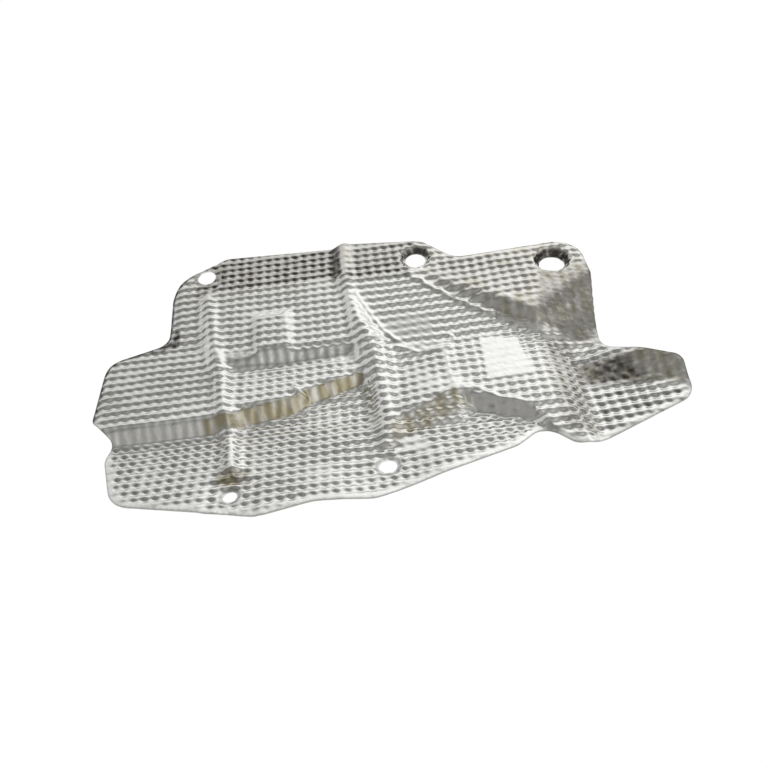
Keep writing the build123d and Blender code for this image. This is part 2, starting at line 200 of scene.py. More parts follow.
holes = []
for mount in frame["record"]["mounts"]:
    centre, axis = Vector(mount["pos_m"]), Vector(mount["axis"])
    across = axis.cross(Vector((0, 1, 0))).normalized()
    other = axis.cross(across)
    radius = mount["dims"]["r_mm"] * MM
    turns = [2 * pi * k / RIM_POINTS for k in range(RIM_POINTS)]
    ring = [centre + radius * (cos(t) * across + sin(t) * other) for t in turns]
    holes.append({"centre": centre, "radius": radius, "ring": np.array([(p.x, p.y) for p in ring])})
    print(mount["name"], "is", round(2 * radius / MM, 1), "mm wide")
cut_lines = [outline] + [hole["ring"] for hole in holes]

# %% [markdown]
# ## Points in step with the bumps
# Rolled waffle has an even pitch, here 5.5 mm along a row and 5.2 mm from row to row. Any fine grid
# could carry it, but a grid out of step meets each bump at another place, and the rows flicker. So
# every bump gets the same whole number of points. Points too near a cut line are left out, because
# that line brings its own.
# %% Measure on the plan
FAR = 1e9


def inside(loop, px, py):
    """Which plan points lie inside a closed line."""
    result = np.zeros(px.shape, bool)
    for (ax, ay), (bx, by) in zip(loop, np.roll(loop, -1, axis=0)):
        if ay != by:
            crosses = (ay > py) != (by > py)
            result ^= crosses & (px < (bx - ax) * (py - ay) / (by - ay) + ax)
    return result


def distance_to(line, px, py, closed=True):
    """Plan distance from points to a closed or open line."""
    best = np.full(px.shape, FAR)
    for (ax, ay), (bx, by) in zip(line, np.roll(line, -1, axis=0) if closed else line[1:]):
        dx, dy = bx - ax, by - ay
        t = np.clip(((px - ax) * dx + (py - ay) * dy) / (dx * dx + dy * dy), 0.0, 1.0)
        best = np.minimum(best, np.hypot(px - ax - t * dx, py - ay - t * dy))
    return best


def off_hole(hole, px, py):
    """Plan distance from the rim of a hole."""
    return np.hypot(px - hole["centre"].x, py - hole["centre"].y) - hole["radius"]


origin = np.zeros((2, 1))
print("the origin is", round(float(distance_to(outline, *origin)[0] / MM), 1), "mm from the outline")

# %% Fill the plan with points
PITCH_X = 5.5 * MM
PITCH_Y = 5.2 * MM
FINE = 7
KEEP_OFF = 0.5 * MM
MEASURE_EVERY = 50


def marks_along(low, high, pitch, per_pitch):
    """Even marks from below the low end to above the high end, in step with the pitch."""
    count_from, count_to = np.floor(low / pitch) * per_pitch, np.ceil(high / pitch) * per_pitch
    return np.arange(count_from, count_to + 1) * pitch / per_pitch


def plan_points(per_pitch):
    """Grid points that lie on the sheet, clear of its cut edges."""
    along = marks_along(cad_low.x, cad_high.x, PITCH_X, per_pitch)
    across = marks_along(cad_low.y, cad_high.y, PITCH_Y, per_pitch)
    px, py = (g.ravel() for g in np.meshgrid(along, across))
    keep = inside(outline, px, py)
    px, py = px[keep], py[keep]
    keep = distance_to(outline, px, py) > KEEP_OFF
    for hole in holes:
        keep &= off_hole(hole, px, py) > KEEP_OFF
    return np.column_stack((px[keep], py[keep]))


fine_points = plan_points(FINE)
sample = fine_points[::MEASURE_EVERY].T
print("fine points", len(fine_points), "of which", sample.shape[1], "are used to measure by")

# %% [markdown]
# ## Reading the table between its cells
# A grid point falls between table cells. The nearest cell would do for a matt surface, but metal shows
# every half-millimetre step in its reflections. So a value is mixed from the four cells around the
# point. A soft step, which leaves and arrives level, will blend one thing into another from here on.
# %% Read a table anywhere
def soft_step(t):
    """0 below 0, 1 above 1, and a smooth rise between."""
    t = np.clip(t, 0.0, 1.0)
    return t * t * (3.0 - 2.0 * t)


def read(table, px, py):
    """Value of a table at plan points, mixed from the four nearest cells."""
    fx, fy = (px - x_axis[0]) / STEP, (py - y_axis[0]) / STEP
    i = np.clip(fx.astype(int), 0, len(x_axis) - 2)
    j = np.clip(fy.astype(int), 0, len(y_axis) - 2)
    tx, ty = fx - i, fy - j
    near = table[j, i] * (1 - tx) + table[j, i + 1] * tx
    far = table[j + 1, i] * (1 - tx) + table[j + 1, i + 1] * tx
    return near * (1 - ty) + far * ty


print("mean height of the sheet", round(float(read(base, *sample).mean() / MM), 2), "mm")

# %% [markdown]
# ## Crisp seats and a soft cove
# One blur does not suit the whole sheet. Round the bolts the punch left crisp seats, and in the cove at
# the right rear the sheet was drawn into one soft sweep. Each could be a mesh of its own, but joints
# between meshes show on metal. It is simpler to blur the table again, once less and once more, and to
# blend the three. The slopes are kept as well: they give the direction square to the sheet.
# %% Blend three blurs into one form
RIM_BLUR = 0.45 * MM
RIM_REACH = 7.0 * MM
RIM_BLEND = 3.0 * MM
COVE_BLUR = 4.5 * MM
COVE_X, COVE_Y, COVE_BLEND = 82.0 * MM, 4.0 * MM, 14.0 * MM

grid_x, grid_y = np.meshgrid(x_axis, y_axis)
crisp = blur_over(known, solid, RIM_BLUR)
crisp = np.where(blur(solid, RIM_BLUR) > SOME_SHEET, crisp, base)
near_hole = np.zeros_like(base)
for hole in holes:
    away = off_hole(hole, grid_x, grid_y)
    near_hole = np.maximum(near_hole, 1.0 - soft_step((away - RIM_REACH) / RIM_BLEND))
broad = blur_over(known, solid, COVE_BLUR)
cove = soft_step((grid_x - COVE_X) / COVE_BLEND) * soft_step((grid_y - COVE_Y) / COVE_BLEND)
form = base + (broad - base) * np.where(sheet_here, cove, 0.0) * (1.0 - near_hole)
form += (crisp - base) * near_hole
slope_y, slope_x = np.gradient(form, STEP)
print("form from", round(float(form.min() / MM), 2), "to", round(float(form.max() / MM), 2), "mm")

# %% [markdown]
# ## Patches and unevenness
# The press did not treat the whole sheet alike. A painted mask could say where something happens, but
# the scene uses no images. Instead we draw the corners of a patch on the plan, in millimetres, and ask
# how far inside them a point lies. A soft edge keeps the change from showing as a cut line. Small
# unevenness is a sum of random waves with a fixed seed, so it comes out the same on every run.
# %% Patches with soft edges and an uneven field
SEED = 11
WAVES = 28
# An uneven field has a shortest and a longest wave in millimetres, and a seed of its own.
TRIAL = (3, 9, 0)


def patch(px, py, corners, soft):
    """1 inside a shape drawn in millimetres, 0 outside, with a soft edge."""
    loop = np.array(corners) * MM
    side = np.where(inside(loop, px, py), 1.0, -1.0)
    return soft_step(distance_to(loop, px, py) * side / (soft * MM) + 0.5)


def uneven(px, py, shortest, longest, seed):
    """Random waves between two wavelengths in millimetres, mostly from -1.5 to 1.5."""
    dice = np.random.default_rng(SEED + seed)
    total = np.zeros(px.shape)
    for _ in range(WAVES):
        long = dice.uniform(shortest, longest) * MM
        way, start = dice.uniform(0, 2 * pi, 2)
        total += np.sin(2 * pi * (px * cos(way) + py * sin(way)) / long + start)
    return total / sqrt(WAVES)


print("spread of the uneven field", round(float(uneven(*sample, *TRIAL).std()), 2))

# %% [markdown]
# ## Where the waffle is flattened
# Waffle sheet leaves the roll with the same bumps all over. Trimming and pressing then flatten them:
# along the rims, round the bolt holes, on the flat pad and where the sheet rubbed in the die. Bumps
# could be deleted there, but real ones fade out. So we work out a share, 1 for full bumps and 0 for
# none, and later multiply by it.
# %% Share of the bumps left
RIM_FLAT, RIM_FADE = 0.3 * MM, 1.6 * MM
FRONT_FLAT, FRONT_FADE = 1.6 * MM, 3.6 * MM
FRONT_Y = -36.0 * MM
SEAT_FLAT, SEAT_FADE = 1.2 * MM, 2.6 * MM
PAD = ((56.0, 4.0), (77.0, 2.5), (79.0, -27.0), (54.5, -27.5))
RIDGE_TOP = ((-16, 96), (-8, 96), (-9, 64), (-17, 66))
RIDGE_SIDE = ((-17, 51), (-9, 48), (-5, 38), (-1, 28), (-5, 16), (-9, 26), (-14, 38))
SCUFF = ((3, -53), (19, -55), (18, -66), (2, -63))
RUBBED = ((6, 26), (32, 27), (31, 11), (11, 11))
BASIN_RISER = ((11, 9), (37.5, 4.6), (37, -2), (11, 3.5))
# Each patch has a soft edge in millimetres and the share of the bumps that is left in it.
SMOOTHED = ((PAD, 2.0, 0.12), (RIDGE_TOP, 2.0, 0.35), (RIDGE_SIDE, 2.0, 0.60), (SCUFF, 4.0, 0.30),
            (RUBBED, 9.0, 0.42), (BASIN_RISER, 3.0, 0.45))


def to_front(py):
    """1 on the front terrace, 0 behind it."""
    return soft_step((FRONT_Y - py) / RIM_REACH)


def bump_share(px, py):
    """Share of the bumps left by trimming, seats and smoothed patches."""
    front = to_front(py)
    flat = RIM_FLAT + (FRONT_FLAT - RIM_FLAT) * front
    fade = RIM_FADE + (FRONT_FADE - RIM_FADE) * front
    share = soft_step((distance_to(outline, px, py) - flat) / fade)
    for hole in holes:
        share *= soft_step((off_hole(hole, px, py) - SEAT_FLAT) / SEAT_FADE)
    for corners, soft, left in SMOOTHED:
        share *= 1.0 - (1.0 - left) * patch(px, py, corners, soft)
    return share


print("mean share of bumps left", round(float(bump_share(*sample).mean()), 2))

# %% [markdown]
# ## Where the press ironed the sheet
# On the steep risers, on the wall and in the cove the two halves of the die slid along the sheet. That
# ironed the rows away and left only faint upright bars. Where the left half is steep can be read from
# the slopes, so the long riser needs no drawing. The other places are patches.
# %% How far the sheet was ironed
IRON_START, IRON_FULL = 0.24, 0.50
LEFT_END_X, LEFT_END_Y = -2.0 * MM, 2.0 * MM
COVE = ((92, 23), (97, 44), (140, 45), (140, -6), (108, -4), (96, 7))
COVE_FOOT = ((92, 5.5), (101, 3.8), (106, 1.5), (109, -1.5), (118, 2), (118, 24), (92, 24))
WALL = ((58, 32), (93, 24), (94, 4), (72, 15.5))
FLAP_WALL = ((104, -20), (107, -31.5), (133, -37.5), (160, -44), (162, -27), (146, -19), (126, -20))
RIGHT_RISER = ((41, -33), (74, -46), (75, -54), (58, -48.5), (42, -44))
UPPER_RISER = ((-90, 16.5), (-9, 9), (-9, 0.8), (-90, 7.5))
# Each patch has a soft edge in millimetres and how far it was ironed.
IRONED = ((COVE, 9.0, 1.0), (COVE_FOOT, 3.0, 1.0), (WALL, 3.0, 0.8), (FLAP_WALL, 3.0, 0.75),
          (RIGHT_RISER, 3.0, 0.75), (UPPER_RISER, 2.5, 1.0))


def ironing(px, py):
    """0 where the rows are whole, 1 where only upright bars are left."""
    amount = soft_step((read(fold_y, px, py) - IRON_START) / (IRON_FULL - IRON_START))
    amount *= soft_step((LEFT_END_X - px) / RIM_REACH) * soft_step((LEFT_END_Y - py) / RIM_BLEND)
    for corners, soft, strength in IRONED:
        amount = np.maximum(amount, strength * patch(px, py, corners, soft))
    return amount


print("ironed part of the sheet", round(float(ironing(*sample).mean()), 2))

# %% [markdown]
# ## Rows of bumps
# Each row is a wave across the sheet that swells and shrinks along its length, so the rows read as
# strings of beads. A bump map in the metal could fake them, but then the edge and the shadow would
# stay flat, and the mesh would be useless on its own. So the bumps are real heights, two cosines with
# a little wander. At the front and on the flap they are taller, at the rear lower, and on the lobe at
# the left and in the middle of the front the beads run together.
# %% Height of the rows
BUMP = 0.56 * MM
FRONT_BUMP, REAR_BUMP = 1.25, 0.90
REAR_Y = 8.0 * MM
FLAP_X = 108.0 * MM
WAVE = 0.35
WANDER = 0.30
ROW_UNEVEN = 0.2
SWELL, SWELL_LOBE, SWELL_FRONT = 0.55, 0.32, 0.42
LOBE_X, LOBE_BLEND = -80.0 * MM, 16.0 * MM
FRONT_MIDDLE, MIDDLE_SOFT = ((-66, -34), (-66, -84), (30, -74), (60, -58), (2, -40)), 12.0
DRIFT_ALONG, DRIFT_ACROSS, ROW_SIZE = (20, 60, 1), (20, 60, 2), (12, 40, 3)


def row_phase(px, py):
    """Phase along and across the rows."""
    along = 2 * pi * px / PITCH_X + WANDER * uneven(px, py, *DRIFT_ALONG)
    across = 2 * pi * py / PITCH_Y + WAVE * np.cos(along) + WANDER * uneven(px, py, *DRIFT_ACROSS)
    return along, across


def row_height(px, py, along, across):
    """Height of the rows before anything flattened them."""
    lobe = soft_step((LOBE_X - px) / LOBE_BLEND) * soft_step((py - FRONT_Y) / RIM_REACH)
    swell = SWELL + (SWELL_LOBE - SWELL) * lobe
    swell += (SWELL_FRONT - SWELL) * patch(px, py, FRONT_MIDDLE, MIDDLE_SOFT)
    rows = BUMP * np.cos(across) * (1.0 + swell * np.cos(along)) / (1.0 + swell)
    front = np.maximum(to_front(py), soft_step((px - FLAP_X) / RIM_REACH))
    rear = soft_step((py - REAR_Y) / RIM_REACH)
    rows *= 1.0 + (FRONT_BUMP - 1.0) * front + (REAR_BUMP - 1.0) * rear
    return rows * (1.0 + ROW_UNEVEN * uneven(px, py, *ROW_SIZE))


measured = row_height(*sample, *row_phase(*sample)) / MM
print("rows from", round(float(measured.min()), 2), "to", round(float(measured.max()), 2), "mm")

# %% [markdown]
# ## Creases
# A pressed sheet gathers into small creases where a fold bends, and they catch the light as bright
# lines. They could be modelled as loops of edges, but this mesh has no edges along them. So each is an
# open line on the plan with a rounded rise beside it: at the foot of the wall and of the ridge, at the
# jog of the long riser, on two sides of the plateau, behind the basin, beside the bead and along the
# strip at the front left. Close to a crease the bumps are ironed as well.
# %% Add the creases
WALL_FOOT = ((23, 57), (32, 48), (41, 39), (51.5, 30.7), (60, 23.5), (73, 16), (85, 8.4), (93, 4.8))
RIDGE_FOOT = ((-9.3, 47.6), (-5.7, 38.6), (-1, 28), (3.7, 18.3), (11.2, 9.5))
JOG = ((-46.5, -14.5), (-44.5, -19), (-42, -20.5))
PLATEAU_SIDE = ((41.5, 7.5), (37, -3.4), (36, -17.2), (38.3, -29.5))
PLATEAU_FRONT = ((6, -41), (23, -37.6), (37, -28.6), (45, -29), (58.5, -41), (72.7, -46))
BASIN_REAR = ((11.1, 6.1), (18.4, 2.3), (28.2, 0.6), (37.1, 0.6))
BEAD_SIDE = ((-50.5, 39), (-49.8, 26.5), (-49.5, 16))
FRONT_STRIP = ((-82.8, -36), (-81.5, -43), (-80, -52), (-79, -60))
# Each line has a rise, a width and the width of the ironed band, in millimetres, and how beaded it is.
CREASES = ((WALL_FOOT, 0.95, 2.0, 2.0, 0.4), (RIDGE_FOOT, 0.75, 1.5, 3.2, 0.12), (JOG, 0.90, 1.6, 1.6, 0.4),
           (PLATEAU_SIDE, 0.60, 1.8, 1.8, 0.3), (PLATEAU_FRONT, 0.45, 1.4, 1.4, 0.3),
           (BASIN_REAR, 0.70, 2.2, 2.2, 0.3), (BEAD_SIDE, 0.45, 1.6, 1.2, 0.2),
           (FRONT_STRIP, 0.50, 2.4, 1.4, 0.2))
CREASE_IRON = 0.75
BEADING = (4, 10, 5)


def creased(px, py, height):
    """Height with the creases added and the bumps beside them ironed."""
    rough = uneven(px, py, *BEADING)
    for line, rise, wide, band, beaded in CREASES:
        away = distance_to(np.array(line) * MM, px, py, closed=False) / MM
        height = height * (1.0 - CREASE_IRON * np.exp(-(away / band) ** 2))
        height += rise * MM * np.exp(-(away / wide) ** 2) * (1.0 + beaded * rough)
    return height


measured = creased(*sample, np.zeros(sample.shape[1])) / MM
print(len(CREASES), "creases, up to", round(float(measured.max()), 2), "mm high")

# %% [markdown]
# ## All the heights together
# On the ironed places faint upright bars take over from the rows. Worked metal is a little crumpled
# too, most of all round the bolts, and the flat pad stands up by a hair. Each of these could be a
# Displace modifier of its own, but they depend on each other. One function that adds them in order is
# easier to follow: rows or bars, then crumple and pad, and the creases last.
# %% Height of everything on the form
BAR = 0.24 * MM
FAINT_BAR, BAR_SOFT = 0.60, 4.0
CRUMPLE, SEAT_CRUMPLE, IRON_CRUMPLE = 0.034 * MM, 2.5, 1.2
CRUMPLES = (2.2, 7, 4)
PAD_LIFT, PAD_SOFT = 0.18 * MM, 1.6


def bumps(px, py):
    """Height of waffle, bars, crumple, pad and creases above the pressed form."""
    along, across = row_phase(px, py)
    ironed = ironing(px, py)
    rows = row_height(px, py, along, across)
    strong = patch(px, py, UPPER_RISER, BAR_SOFT)
    bars = BAR * np.cos(along) * (FAINT_BAR + (1.0 - FAINT_BAR) * strong)
    height = bump_share(px, py) * (rows * (1.0 - ironed) + bars * ironed)
    worked = 1.0 + SEAT_CRUMPLE * read(near_hole, px, py) + IRON_CRUMPLE * ironed
    height += CRUMPLE * worked * uneven(px, py, *CRUMPLES)
    height += PAD_LIFT * patch(px, py, PAD, PAD_SOFT)
    return creased(px, py, height)


measured = bumps(*sample) / MM
print("bumps and creases from", round(float(measured.min()), 2), "to", round(float(measured.max()), 2), "mm")

# %% [markdown]
# ## Joining the points
# Points and cut lines are joined into triangles, finely for the upper face and coarsely for the lower
# face that nobody sees. A grid of squares would be easier, but it can't follow a slanted cut edge.
# Blender's Delaunay helper takes loose points together with lines that must be kept, so the edge and
# the holes come out clean. It keeps everything inside the outline, and the triangles that fill the bolt
# holes are dropped after it.
# %% Join plan points into triangles
COARSE = 3
INSIDE_CUTS, TOUCHING = 2, 1e-8


def triangles(inner):
    """Plan points with the cut lines first, and the triangles between them, facing up."""
    plan, edges = [], []
    for line in cut_lines:
        first, count = len(plan), len(line)
        plan += [Vector(p) for p in line]
        edges += [(first + i, first + (i + 1) % count) for i in range(count)]
    plan += [Vector(p) for p in inner]
    made = delaunay_2d_cdt(plan, edges, [], INSIDE_CUTS, TOUCHING)
    flat, faces = np.array([tuple(p) for p in made[0]]), np.array(made[2])
    a, b, c = (flat[faces[:, k]] for k in range(3))
    turn = (b[:, 0] - a[:, 0]) * (c[:, 1] - a[:, 1]) - (b[:, 1] - a[:, 1]) * (c[:, 0] - a[:, 0])
    faces[turn < 0] = faces[turn < 0][:, ::-1]
    middle = flat[faces].mean(axis=1)
    bored = np.zeros(len(faces), bool)
    for hole in holes:
        bored |= inside(hole["ring"], middle[:, 0], middle[:, 1])
    return flat, faces[~bored]


upper_plan, upper_faces = triangles(fine_points)
lower_plan, lower_faces = triangles(plan_points(COARSE))
print("triangles", len(upper_faces), "above and", len(lower_faces), "below")

# %% [markdown]
# ## One closed sheet
# The sheet has the same thickness everywhere, so its lower face is the upper one moved square to the
# surface. A Solidify modifier could add it, but at the cut edge it leans past the CAD model. Here every
# point is pushed by its own slope and kept inside the CAD box, and a strip of faces along each cut line
# closes the sheet. The edges of those strips are marked sharp, as a cut is.
# %% Make one closed mesh
SHEET = 0.8 * MM


def lifted(flat, level):
    """Plan points set on the sheet, a given height above its upper face."""
    px, py = flat[:, 0], flat[:, 1]
    sx, sy = read(slope_x, px, py), read(slope_y, px, py)
    push = (bumps(px, py) + level) / np.sqrt(1.0 + sx * sx + sy * sy)
    places = np.column_stack((px - sx * push, py - sy * push, read(form, px, py) + push))
    return np.clip(places, cad_low[:], cad_high[:])


upper, lower = lifted(upper_plan, 0.0), lifted(lower_plan, -SHEET)
start = len(upper)
faces = [tuple(f) for f in upper_faces.tolist()]
faces += [tuple(start + i for i in reversed(f)) for f in lower_faces.tolist()]
first, rims = 0, set()
for line in cut_lines:
    ring = range(first, first + len(line))
    pairs = list(zip(ring, [*ring[1:], first]))
    area = sum(upper_plan[a][0] * upper_plan[b][1] - upper_plan[b][0] * upper_plan[a][1] for a, b in pairs)
    outward = (area > 0) == (line is outline)
    for a, b in pairs:
        quad = (a, start + a, start + b, b)
        faces.append(quad if outward else quad[::-1])
        rims |= {frozenset((a, b)), frozenset((start + a, start + b))}
    first += len(line)
mesh = bpy.data.meshes.new("embossed_sheet")
mesh.from_pydata(np.vstack((upper, lower)).tolist(), [], faces)
mesh.shade_smooth()
sharp = mesh.attributes.new("sharp_edge", "BOOLEAN", "EDGE")
sharp.data.foreach_set("value", [frozenset(e.vertices) in rims for e in mesh.edges])
mesh.update()
print("closed mesh of", len(mesh.vertices), "points with", len(rims), "sharp edges")

# %% [markdown]
# ## The straw film and painted brown reflection
# Exhaust heat leaves a thin straw-brown film, strongest where the sheet was ironed. On the rear
# flange, the wall, the cove and the shelf the same brown is painted reflection, not film. An image
# painted on the sheet could show it, but the patches that shaped the bumps already know these places.
# So the film is one number for each point, blotchy and drawn out along y.
# %% Strength of the straw film and painted brown reflection
LONG_RISER, RISER_SOFT = ((-96, -22), (-96, -48), (-40, -34), (2, -22), (2, 2), (-40, -8)), 6.0
RISER_STRAW = 0.95
RISER_START, RISER_FULL = 0.35, 0.80
SOFT_RISER = ((2, -56), (2, -44), (24, -36), (36, -30), (44, -38), (24, -48))
DIP = ((-88, -70), (-72, -72), (-72, -64), (-86, -62))
SHELF = ((40, 70), (30, 54), (60, 24), (94, 4), (140, 10), (140, 70))
REAR = ((-110, 60), (-110, 110), (120, 110), (120, 60))
FLANK = ((90, 0), (89, -26), (87, -64), (103, -70), (104, -52), (107, -24), (104, 0))
# Each patch has a soft edge in millimetres and the strength of its film.
# On SHELF, COVE, COVE_FOOT, WALL and REAR the brown is painted reflection.
STRAW_AND_REFLECTION = ((FLANK, 6.0, 0.22), (SOFT_RISER, 6.0, 0.55), (DIP, 4.0, 0.95), (SHELF, 10.0, 0.26),
         (COVE, 6.0, 0.42), (COVE_FOOT, 3.0, 0.42), (WALL, 4.0, 0.42), (FLAP_WALL, 4.0, 0.50),
         (REAR, 30.0, 0.25))
EVEN_FILM, BLOTCH, STREAK = 0.9, 0.45, 0.4
BLOTCHES = (4, 14, 6)


def straw_and_reflection(px, py):
    """Strength of the straw film and painted brown reflection, blotchy within its patches."""
    worked = soft_step((ironing(px, py) - RISER_START) / (RISER_FULL - RISER_START))
    film = RISER_STRAW * patch(px, py, LONG_RISER, RISER_SOFT) * worked
    for corners, soft, strength in STRAW_AND_REFLECTION:
        film = np.maximum(film, strength * patch(px, py, corners, soft))
    return np.clip(film * (EVEN_FILM + BLOTCH * uneven(px, STREAK * py, *BLOTCHES)), 0.0, 1.0)


print("mean straw", round(float(straw_and_reflection(*sample).mean()), 3))

# %% [markdown]
# ## Painted shade and dark reflections
# Dark colour is painted in the hollows between the rows, on the rear flange above all, in the cups of
# the rear seats and along the rim at the left. It is painted shade and painted reflection of dark
# surroundings, not dirt. One dark colour could be mixed in by noise alone, but shade follows the
# shape. Here every patch has an even part and a part that is caught in the hollows, worked out from
# the same phase as the rows.
# %% Painted shade on the left rim and the seats
LEFT_RIM_X, LEFT_RIM_Y = -104.0 * MM, -24.0 * MM
DARK_RIM, RIM_WIDE = 0.95, 1.0 * MM
DARK_CUP, CUP_WIDE, CUP_LEAN = 0.95, 2.5 * MM, 0.3
SEAT_RING, RING_WIDE = 0.45, 1.2 * MM


def rim_shade(px, py):
    """Painted shade: a dark rim along the left end."""
    rim = 1.0 - soft_step((distance_to(outline, px, py) - RIM_WIDE) / RIM_WIDE)
    left_end = soft_step((LEFT_RIM_X - px) / RIM_REACH) * soft_step((py - LEFT_RIM_Y) / RIM_REACH)
    return DARK_RIM * rim * left_end


def seat_shade(hole, px, py):
    """Painted shade: the dark rear half of a cupped seat, or a grey ring round a plain one."""
    away, centre = off_hole(hole, px, py), hole["centre"]
    if centre.y > 0 and centre.x > 0:
        behind = soft_step((py - centre.y) / hole["radius"] + CUP_LEAN)
        return DARK_CUP * behind * (1.0 - soft_step((away - CUP_WIDE) / RIM_WIDE))
    return SEAT_RING * np.exp(-((away - RING_WIDE) / RING_WIDE) ** 2)


print("soot on the rims, up to", round(float(rim_shade(*outline.T).max()), 2),
      "and on the seats", [round(float(seat_shade(h, *h["ring"].T).max()), 2) for h in holes])

# %% Painted shade and dark reflections all over
# Patches of painted shade and painted dark reflection, not dirt.
REAR_FLANGE = ((-104, 65), (-104, 100), (-17, 100), (-17, 63))
REAR_BARS = ((-12, 71), (-12, 58), (22, 55), (22, 68))
RIDGE_WALL = ((-21, 100), (-15.5, 100), (-16.5, 62), (-22, 62))
FLAP_CORNER = ((101, -17), (105, -34), (130, -39), (140, -38), (128, -18))
FRONT_TERRACE = ((-160, -34), (-160, -100), (60, -100), (60, -60), (0, -34))
REAR_CENTRE = ((-12, 57), (24, 55), (32, 86), (-11, 88))
FLAP = ((107, -36), (150, -46), (156, -52), (118, -78), (104, -66))
REAR_RIGHT = ((42, 63), (67, 62), (98, 59), (97, 47), (67, 50), (43, 52))
SHELF_ROWS = ((42, 54), (98, 53), (108, 36), (92, 19), (71, 24), (56, 36))
LOBE_CORNER = ((-130, 25), (-126, 30), (-118, 33), (-116, 41), (-113, 39), (-113, 28), (-122, 25))
LEFT_REAR = ((-150, -24), (-60, -4), (-20, 6), (-20, 66), (-130, 66), (-160, 10))
# Each patch has a soft edge in millimetres, an even strength and the strength caught in the hollows.
PAINTED_SHADE = ((REAR_FLANGE, 4.0, 0.27, 0.90), (REAR_BARS, 4.0, 0.15, 0.90), (RIDGE_WALL, 3.0, 1.0, 0.0),
        (COVE, 5.0, 0.32, 0.0), (COVE_FOOT, 3.0, 0.32, 0.0), (FLAP_WALL, 4.0, 0.08, 0.2),
        (FLAP_CORNER, 9.0, 0.66, 0.1), (FLANK, 6.0, 0.26, 0.32), (DIP, 3.0, 0.25, 0.2),
        (FRONT_TERRACE, 6.0, 0.0, 0.30), (REAR_CENTRE, 6.0, 0.20, 0.45), (FLAP, 6.0, 0.0, 0.75),
        (REAR_RIGHT, 5.0, 0.06, 0.50), (SHELF_ROWS, 6.0, 0.04, 0.22), (RIGHT_RISER, 3.0, 0.05, 0.20),
        (LOBE_CORNER, 2.0, 0.70, 0.40), (LEFT_REAR, 16.0, 0.07, 0.04))
HOLLOW_EVEN, HOLLOW_BEAD = 0.65, 0.35
MOTTLE, MOTTLES = 0.30, (2, 6, 7)


def painted_shade(px, py):
    """Strength of the painted shade and dark reflections, thickest in the hollows between rows."""
    along, across = row_phase(px, py)
    # Painted shade in the hollows between the rows.
    hollow = np.clip(-np.sin(across), 0.0, 1.0) * (HOLLOW_EVEN + HOLLOW_BEAD * np.cos(along))
    darkness = rim_shade(px, py)
    for corners, soft, even, caught in PAINTED_SHADE:
        darkness = np.maximum(darkness, (even + caught * hollow) * patch(px, py, corners, soft))
    for hole in holes:
        darkness = np.maximum(darkness, seat_shade(hole, px, py))
    return np.clip(darkness * (1.0 + MOTTLE * uneven(px, py, *MOTTLES)), 0.0, 1.0)


print("mean soot", round(float(painted_shade(*sample).mean()), 3))

# %% [markdown]
# ## Painting the points
# Both strengths are stored on the mesh as named layers, one number a point, and the metal will read
# them by name. Both rings of the outline get some painted shade whatever the patches say, so the
# edge reads grey rather than bright.
# %% Paint straw and soot on the mesh
EDGE_SHADE = 0.6

px, py = np.vstack((upper_plan, lower_plan)).T
layers = {"straw_and_reflection": straw_and_reflection(px, py), "painted_shade": painted_shade(px, py)}
# Painted shade along both rings of the outline.
for first in (0, len(upper_plan)):
    rim = slice(first, first + len(outline))
    layers["painted_shade"][rim] = np.maximum(layers["painted_shade"][rim], EDGE_SHADE)
for name, values in layers.items():
    mesh.attributes.new(name, "FLOAT", "POINT").data.foreach_set("value", values.astype(np.float32))
    print(name, "mean", round(float(values.mean()), 3), "most", round(float(values.max()), 2))

# %% [markdown]
# ## The sheet takes its place
# The mesh becomes an object, and two calls place it: it rides on the one body, and the CAD node
# stays hidden beneath it. It was built in the frame's own metres, so nothing has to be moved.
# %% Put the sheet in the frame
sheet = bpy.data.objects.new("embossed_sheet", mesh)
bpy.context.scene.collection.objects.link(sheet)
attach(sheet, "root")
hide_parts("heat_shield")
print("sheet has", len(mesh.polygons), "faces")

# %% [markdown]
# ## Helpers for shader nodes
# A material is a small network of nodes. It could be drawn by hand in the shader editor, but a script
# makes the same one every time. These helpers add a node and fill or link its inputs in one line, so
# the cells that follow stay short.
# %% Helpers that add nodes
# A Mix node lists its colour sockets behind those for numbers and vectors.
COLOUR_A, COLOUR_B, COLOUR_OUT = 6, 7, 2


def add(tree, kind, inputs=None, **settings):
    """New node with its settings, and with each input filled or linked."""
    node = tree.nodes.new(kind)
    for name, value in settings.items():
        setattr(node, name, value)
    for name, value in (inputs or {}).items():
        if isinstance(value, bpy.types.NodeSocket):
            tree.links.new(value, node.inputs[name])
        else:
            node.inputs[name].default_value = value
    return node


def worked_out(tree, operation, a, b):
    """Result of one step of arithmetic."""
    return add(tree, "ShaderNodeMath", {0: a, 1: b}, operation=operation).outputs[0]


def mixed(tree, share, below, above):
    """Colour between two colours."""
    node = add(tree, "ShaderNodeMix", {0: share, COLOUR_A: below, COLOUR_B: above}, data_type="RGBA")
    return node.outputs[COLOUR_OUT]


def laid_over(tree, below, colour, layer, strength):
    """Mix a colour over another by a painted layer."""
    painted = add(tree, "ShaderNodeAttribute", attribute_name=layer).outputs["Fac"]
    return mixed(tree, worked_out(tree, "MULTIPLY", painted, strength), below, colour)


print("layers to lay over the metal:", [a.name for a in mesh.attributes if a.name in layers])

# %% [markdown]
# ## Bare aluminium
# The sheet is bare metal, so almost all of its look is what it mirrors. Gloss over grey paint would
# look like plastic. One Principled shader with full metallic mirrors as metal does, and its colour is
# the aluminium with the straw film and painted brown reflection, then the painted shade laid over it.
# %% Colour of the metal
ALUMINIUM = (0.84, 0.84, 0.82, 1)
STRAW_AND_REFLECTION_COLOUR, STRAW_AND_REFLECTION_COVER = (0.41, 0.35, 0.18, 1), 0.8
SHADE_COLOUR, SHADE_COVER = (0.10, 0.09, 0.085, 1), 1.0

